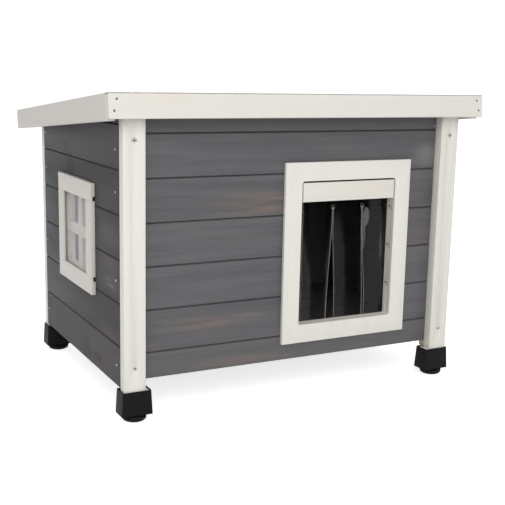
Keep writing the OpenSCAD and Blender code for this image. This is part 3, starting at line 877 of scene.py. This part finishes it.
@dataclass
class Walls:
    """The four board walls, with the marks that the photograph shows on two of them."""

    grain_x: Grain = Grain(Axis.X)
    grain_y: Grain = Grain(Axis.Y)
    front_brown: Tuple[Spot, ...] = (
        (-0.075, 0.278, 0.120, 0.022, 0.55), (-0.100, 0.277, 0.060, 0.007, 0.85),
        (-0.045, 0.270, 0.055, 0.007, 0.95), (-0.030, 0.283, 0.040, 0.005, 0.7),
        (-0.150, 0.118, 0.100, 0.018, 0.35), (-0.128, 0.119, 0.050, 0.005, 0.7),
        (-0.075, 0.124, 0.045, 0.005, 0.5), (-0.182, 0.123, 0.035, 0.006, 0.3),
        (-0.080, 0.060, 0.100, 0.014, 0.4), (-0.112, 0.057, 0.035, 0.006, 0.4))
    # Painted light: a lighter patch on the upper board between the doorway and the right post, where
    # it lies in shade.
    front_painted_light: Tuple[Spot, ...] = ((0.216, 0.338, 0.030, 0.026, 0.65),)
    left_brown: Tuple[Spot, ...] = (
        (-0.145, 0.205, 0.045, 0.016, 0.6), (-0.153, 0.178, 0.045, 0.014, 0.7),
        (-0.150, 0.106, 0.060, 0.022, 0.4), (0.080, 0.179, 0.050, 0.014, 0.35))
    left_lighter: Tuple[Spot, ...] = (
        (-0.152, 0.240, 0.062, 0.026, 0.28), (-0.156, 0.1732, 0.024, 0.0040, 0.5),
        (-0.143, 0.180, 0.018, 0.0035, 0.25))
    left_smudges: Tuple[Spot, ...] = (
        (0.019, 0.310, 0.034, 0.034, 0.55), (0.039, 0.338, 0.018, 0.020, 0.35),
        (-0.047, 0.060, 0.024, 0.030, 0.4))
    # Painted light: the box behind the window's pane where the left boards are coloured near white.
    painted_light_behind_pane: Tuple[Triple, Triple] = ((-0.256, -0.015, 0.224), (0.005, 0.061, 0.061))

    def build(self, bench: Bench) -> None:
        """Builds the walls.

        Args:
            bench: where the pieces are dressed.
        """
        # Painted shade: the side walls take a darker copy of the front's grey stain, for the shade on
        # them.
        side = {"body": (78.0, 77.0, 78.0), "deep": (66.0, 65.0, 66.0),
                "warm": (98.0, 84.0, 80.0), "knot": (50.0, 45.0, 43.0),
                "brown": (110.0, 98.0, 94.0), "gloss": 0.1}
        front = {"browned": self.front_brown, "lightened": self.front_painted_light}
        left = {"browned": self.left_brown, "smudged": self.left_smudges,
                "lightened": self.left_lighter, "painted_light_box": self.painted_light_behind_pane}
        for node, grain, out, seed, looks in (
                ("front_boards", self.grain_x, (0.0, -1.0, 0.0), 3, front),
                ("rear_boards", self.grain_x, (0.0, 1.0, 0.0), 5, {}),
                ("left_boards", self.grain_y, (-1.0, 0.0, 0.0), 8, {**side, **left}),
                ("right_boards", self.grain_y, (1.0, 0.0, 0.0), 9, side)):
            recipe = Stain("grey_stain_" + node, grain, **looks)
            Joinery(node, recipe, "grey_boards", outward=out, seed=seed).build(bench)


@dataclass
class Carcass:
    """Posts, battens, backing pieces, studs and floor."""

    upright: Grain = Grain(Axis.Z)
    shaded_post: str = "front_right"

    def build(self, bench: Bench) -> None:
        """Builds the carcass.

        Args:
            bench: where the pieces are dressed.
        """
        white = Paint("white_upright", self.upright, (233.0, 230.0, 223.0), (223.0, 219.0, 211.0))
        # Painted shade: the right front post takes a darker copy of the white paint, as the light
        # falls off to the right.
        shaded = Paint("white_right_painted_shade", self.upright, (229.0, 226.0, 219.0), (219.0, 215.0, 207.0))
        for place in CORNERS:
            paint = shaded if place == self.shaded_post else white
            Joinery("post_" + place, paint, "white_wood", ease=0.0009, rounds=3,
                    seed=len(place)).build(bench)
        Joinery("leg_packers", white, "white_wood").build(bench)
        Joinery("corner_battens", BareWood("bare_z", self.upright), "bare_wood",
                seed=14).build(bench)
        for node, grain in (("wall_cleats", self.upright), ("door_studs", self.upright),
                            ("floor_boards", Grain(Axis.X)), ("floor_bearers", Grain(Axis.Y))):
            Joinery(node, inside_shade_stain(grain), "grey_boards", seed=len(node)).build(bench)


@dataclass
class Doorway:
    """White frame, header board and the rail behind the curtain."""

    level: Grain = Grain(Axis.X)
    header_shade_height: float = 0.3031

    def build(self, bench: Bench) -> None:
        """Builds the doorway's wood.

        Args:
            bench: where the pieces are dressed.
        """
        ring = Paint("white_frame", Grain(Axis.Z), (232.0, 229.0, 222.0), (221.0, 217.0, 209.0))
        Joinery("door_frame", ring, "white_wood", ease=0.0007, rounds=3, seed=4).build(bench)
        # Painted shade: the header's top face is coloured dark, as the shade in the gap above it.
        header = Paint("white_header", self.level, (228.0, 224.0, 216.0), (218.0, 213.0, 204.0),
                       painted_shade_above=self.header_shade_height)
        Joinery("door_header", header, "white_wood", ease=0.0006, rounds=3, seed=6).build(bench)
        Joinery("curtain_rail", inside_shade_stain(self.level), "grey_boards").build(bench)


@dataclass
class Strip:
    """One strip of the curtain: a soft sheet that leans, skews and curls towards its lower end.

    left and right are its sides at the top, and left_set and right_set tell how far they lie
    further to the right at the lower end.
    """

    name: str
    left: float
    right: float
    left_set: float
    right_set: float
    curl: float
    ripple: float
    face: float = -0.1895
    top: float = 0.26635
    low: float = 0.107
    lean: float = 0.002
    thick: float = 0.001
    edge: float = 0.0008
    edge_highlight: float = 0.26
    waves_across: float = 0.8
    waves_down: float = 0.9
    crease: float = 40.0
    columns: int = 14
    rows: int = 40

    def place(self, across: float, down: float) -> Vector:
        """Finds a point of the sheet's middle.

        Args:
            across: its share across the strip.
            down: its share down the strip.

        Returns:
            The point.
        """
        ease = down * down * (3.0 - 2.0 * down)
        left = self.left + self.left_set * ease
        right = self.right + self.right_set * ease
        bow = 1.0 - 4.0 * (across - 0.5) ** 2
        wave = self.ripple * math.sin(math.pi * down) * math.sin(
            2.0 * math.pi * (across * self.waves_across + down * self.waves_down))
        return Vector((left + (right - left) * across,
                       self.face - self.lean * ease - self.curl * ease * bow + wave,
                       self.top + (self.low - self.top) * down))

    def build(self, bench: Bench, recipe: Vinyl) -> None:
        """Makes the strip and hangs it on its body.

        Args:
            bench: where the piece is dressed.
            recipe: the sheet's finish.
        """
        shape = bmesh.new()
        bmesh.ops.create_grid(shape, x_segments=self.columns, y_segments=self.rows, size=0.5)
        rim = shape.faces.layers.float.new("rim")
        inner = 0.5 - 1.0 / self.columns
        # Painted highlight: a lighter band along each side of the strip.
        for face in shape.faces:
            if abs(face.calc_center_median().x) > inner:
                face[rim] = self.edge_highlight
        narrow = 0.5 - self.edge / (self.right - self.left)
        for vert in shape.verts:
            outermost = abs(vert.co.x) > 0.499
            across = vert.co.x if outermost else vert.co.x * narrow / inner
            vert.co = self.place(across + 0.5, 0.5 - vert.co.y)
        bmesh.ops.recalc_face_normals(shape, faces=shape.faces)
        if sum(face.normal.y for face in shape.faces) > 0.0:
            bmesh.ops.reverse_faces(shape, faces=shape.faces)
        for vert in shape.verts:
            vert.co -= Vector((0.0, self.thick / 2.0, 0.0))
        bmesh.ops.solidify(shape, geom=shape.faces[:], thickness=self.thick)
        bmesh.ops.recalc_face_normals(shape, faces=shape.faces)
        mark_rims(shape)
        mesh = to_mesh(shape, self.name, self.crease)
        body = self.name.replace("curtain_", "")
        piece = bench.dress(mesh, self.name + "_sheet", recipe, body, [self.name])


@dataclass
class Curtain:
    """Clear curtain: a band clamped behind the header, and three strips."""

    left: float = 0.007
    width: float = 0.144
    pitch: float = 0.049
    slit: float = 0.0008
    skew: float = 0.0075
    drift: float = 0.005
    curl: float = 0.003
    ripple: float = 0.0004
    # Painted reflections: the whitish bands on the strips.
    painted_reflection: Tuple[Spot, ...] = (
        (0.008, 0.108, 0.016, 0.140, 0.17), (0.062, 0.130, 0.020, 0.150, 0.15),
        (0.1112, 0.252, 0.0065, 0.017, 0.5), (0.1085, 0.230, 0.0045, 0.034, 0.42),
        (0.128, 0.180, 0.020, 0.150, 0.18), (0.141, 0.205, 0.003, 0.024, 0.34))
    holes: Tuple[Triple, ...] = ((0.056, 0.2668, 0.0022), (0.105, 0.2668, 0.0022))

    def build(self, bench: Bench) -> None:
        """Builds the band and the strips.

        Args:
            bench: where the pieces are dressed.
        """
        recipe = Vinyl("clear_curtain", self.painted_reflection, self.holes)
        Joinery("curtain_band", recipe, "clear_curtain", ease=0.0, rims=True).build(bench)
        first, second, half = self.left + self.pitch, self.left + 2.0 * self.pitch, self.slit / 2.0
        for side, left, right, left_set, right_set, curl in (
                ("left", self.left, first - half, -self.skew / 4.0, -self.skew, self.curl),
                ("middle", first + half, second - half, self.drift, self.drift,
                 self.curl * 0.6),
                ("right", second + half, self.left + self.width, self.drift * 1.6,
                 -self.skew / 4.0, -self.curl * 0.5)):
            Strip("curtain_strip_" + side, left, right, left_set, right_set, curl,
                  self.ripple).build(bench, recipe)


@dataclass
class Window:
    """White window frame, pane and glazing bars in the left wall."""

    # Painted shade: the window's frame takes a darker copy of the white paint, for the shade on the
    # left wall.
    body: Triple = (220.0, 214.0, 207.0)
    shade: Triple = (210.0, 204.0, 197.0)

    def build(self, bench: Bench) -> None:
        """Builds the window.

        Args:
            bench: where the pieces are dressed.
        """
        level = Paint("window_level_painted_shade", Grain(Axis.Y), self.body, self.shade)
        upright = Paint("window_upright_painted_shade", Grain(Axis.Z), self.body, self.shade)
        for node, recipe in (("window_rail_top", level), ("window_rail_bottom", level),
                             ("window_stile_front", upright), ("window_stile_rear", upright),
                             ("glazing_bar_upright", upright), ("glazing_bar_cross", level)):
            Joinery(node, recipe, "white_wood", ease=0.0006, rounds=3, seed=len(node)).build(bench)
        Joinery("window_pane", Acrylic("clear_pane"), "clear_pane", ease=0.0002).build(bench)


@dataclass
class Feet:
    """Black caps and their round glides."""

    def build(self, bench: Bench) -> None:
        """Builds the feet.

        Args:
            bench: where the pieces are dressed.
        """
        recipe = MouldedPlastic("black_plastic")
        Joinery("foot_caps", recipe, "black_plastic", ease=0.0006).build(bench)
        for place in CORNERS:
            node = "glide_" + place
            Joinery(node, recipe, "black_plastic", body=node, ease=0.0).build(bench)


@dataclass
class Roof:
    """Fascias, boards, battens and felt."""

    across: Grain = Grain(Axis.X)
    deep: Grain = Grain(Axis.Y)

    def build(self, bench: Bench) -> None:
        """Builds the roof.

        Args:
            bench: where the pieces are dressed.
        """
        # Painted shade: the fascias take darker copies of the white paint, the side ones darker than
        # the front one.
        front = Paint("roof_front_painted_shade", self.across, (225.0, 222.0, 215.0), (216.0, 212.0, 204.0))
        side = Paint("roof_side_painted_shade", self.deep, (217.0, 213.0, 207.0), (209.0, 204.0, 198.0))
        for node, recipe in (("roof_fascia_front", front), ("roof_fascia_left", side),
                             ("roof_fascia_right", side)):
            Joinery(node, recipe, "white_wood", body="roof", ease=0.001, rounds=3,
                    seed=len(node)).build(bench)
        for node, recipe, slot, seed in (
                ("roof_boards", BareWood("bare_x", self.across), "bare_wood", 11),
                ("roof_battens", inside_shade_stain(self.deep), "grey_boards", 12),
                ("roof_felt", MineralFelt("mineral_felt"), "roofing_felt", 1)):
            Joinery(node, recipe, slot, body="roof", seed=seed).build(bench)


@dataclass
class Hardware:
    """Hinges, pins, screws and nails."""

    leaf_ease: float = 0.0002

    def build(self, bench: Bench) -> None:
        """Builds the metal pieces.

        Args:
            bench: where the pieces are dressed.
        """
        plate = ZincPlate("zinc_plate")
        dull = ZincPlate("zinc_dull", (118.0, 116.0, 111.0), (96.0, 94.0, 90.0))
        for node, body, ease in (("hinge_leaves_fixed", "house", self.leaf_ease),
                                 ("hinge_leaves_moving", "roof", self.leaf_ease),
                                 ("hinge_pins", "house", 0.0), ("post_screws", "house", 0.0),
                                 ("wall_nails", "house", 0.0), ("fascia_nails", "roof", 0.0),
                                 ("hinge_screws_fixed", "house", 0.0),
                                 ("hinge_screws_moving", "roof", 0.0)):
            recipe = dull if node == "fascia_nails" else plate
            Joinery(node, recipe, "zinc", body=body, ease=ease, rounds=1,
                    recess=node == "post_screws").build(bench)


@dataclass(frozen=True)
class Lamp:
    """A square soft lamp: its name, place, side in metres and power in watts."""

    name: str
    place: Triple
    size: float
    power: float

    def hang(self, aim: Triple) -> None:
        """Hangs the lamp.

        Args:
            aim: the point that it looks at.
        """
        data = bpy.data.lights.new(self.name, "AREA")
        data.size, data.energy = self.size, self.power
        lamp = bpy.data.objects.new(self.name, data)
        lamp.location = self.place
        down = Vector(aim) - Vector(self.place)
        lamp.rotation_euler = down.to_track_quat("-Z", "Y").to_euler()
        bpy.context.scene.collection.objects.link(lamp)


@dataclass
class Studio:
    """White floor, soft lamps, white surroundings and the camera of the photograph."""

    spot: Triple = (-0.65071, -1.29478, 0.45355)
    yaw: float = 27.691
    pitch: float = 11.007
    roll: float = 1.219
    lens: float = 66.787
    sensor: float = 36.0
    sky: float = 0.5
    floor_reach: float = 30.0
    floor_grey: float = 0.86
    floor_glow: float = 0.75
    aim: Triple = (0.0, 0.0, 0.2)
    lamps: Tuple[Lamp, ...] = (Lamp("key_softbox", (-0.75, -2.2, 1.55), 1.6, 28.5),
                               Lamp("top_softbox", (0.0, 0.2, 2.8), 2.4, 24.0))

    def camera(self) -> None:
        """Puts the camera where the photograph was taken from."""
        yaw, pitch, roll = (math.radians(angle) for angle in (self.yaw, self.pitch, self.roll))
        forward = Vector((math.sin(yaw) * math.cos(pitch), math.cos(yaw) * math.cos(pitch),
                          -math.sin(pitch)))
        right = Vector((math.cos(yaw), -math.sin(yaw), 0.0))
        up = right.cross(forward)
        side = right * math.cos(roll) + up * math.sin(roll)
        top = up * math.cos(roll) - right * math.sin(roll)
        data = bpy.data.cameras.new("photo_camera")
        data.lens, data.sensor_width, data.sensor_fit = self.lens, self.sensor, "HORIZONTAL"
        camera = bpy.data.objects.new("photo_camera", data)
        camera.matrix_world = Matrix((side, top, -forward)).transposed().to_4x4()
        camera.location = self.spot
        bpy.context.scene.collection.objects.link(camera)
        bpy.context.scene.camera = camera

    def surroundings(self) -> None:
        """Lights the scene softly from all round, and shows white behind it."""
        graph = Graph("white_room", world=True)
        bpy.context.scene.world = graph.owner
        light = graph.add("ShaderNodeBackground", {"Color": WHITE, "Strength": self.sky})
        white = graph.add("ShaderNodeBackground", {"Color": WHITE})
        graph.end(graph.add("ShaderNodeMixShader", {
            0: graph.seen(), 1: light.outputs[0], 2: white.outputs[0]}))

    def floor(self) -> None:
        """Lays a white floor, lighter where it is seen, that keeps the soft shadow."""
        shape = bmesh.new()
        bmesh.ops.create_grid(shape, x_segments=1, y_segments=1, size=self.floor_reach)
        mesh = bpy.data.meshes.new("studio_floor")
        shape.to_mesh(mesh)
        shape.free()
        floor = bpy.data.objects.new("studio_floor", mesh)
        bpy.context.scene.collection.objects.link(floor)
        graph = Graph("floor_white")
        grey = (self.floor_grey, self.floor_grey, self.floor_grey, 1.0)
        dull = graph.add("ShaderNodeBsdfDiffuse", {"Color": grey})
        glow = graph.add("ShaderNodeEmission", {"Color": WHITE, "Strength": self.floor_glow})
        both = graph.add("ShaderNodeAddShader", {0: dull.outputs[0], 1: glow.outputs[0]})
        graph.end(graph.add("ShaderNodeMixShader", {
            0: graph.seen(), 1: dull.outputs[0], 2: both.outputs[0]}))
        mesh.materials.append(graph.owner)

    def build(self) -> None:
        """Builds the studio."""
        self.camera()
        self.surroundings()
        self.floor()
        for lamp in self.lamps:
            lamp.hang(self.aim)
        bpy.context.scene.view_settings.view_transform = "Standard"


def main() -> None:
    """Builds the cat house, then the studio."""
    logging.basicConfig(level=logging.INFO, format="%(name)s %(message)s")
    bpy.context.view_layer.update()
    bench = Bench()
    for part in (Walls(), Carcass(), Doorway(), Curtain(), Window(), Feet(), Roof(), Hardware()):
        part.build(bench)
    Studio().build()


if __name__ == "__main__":
    main()
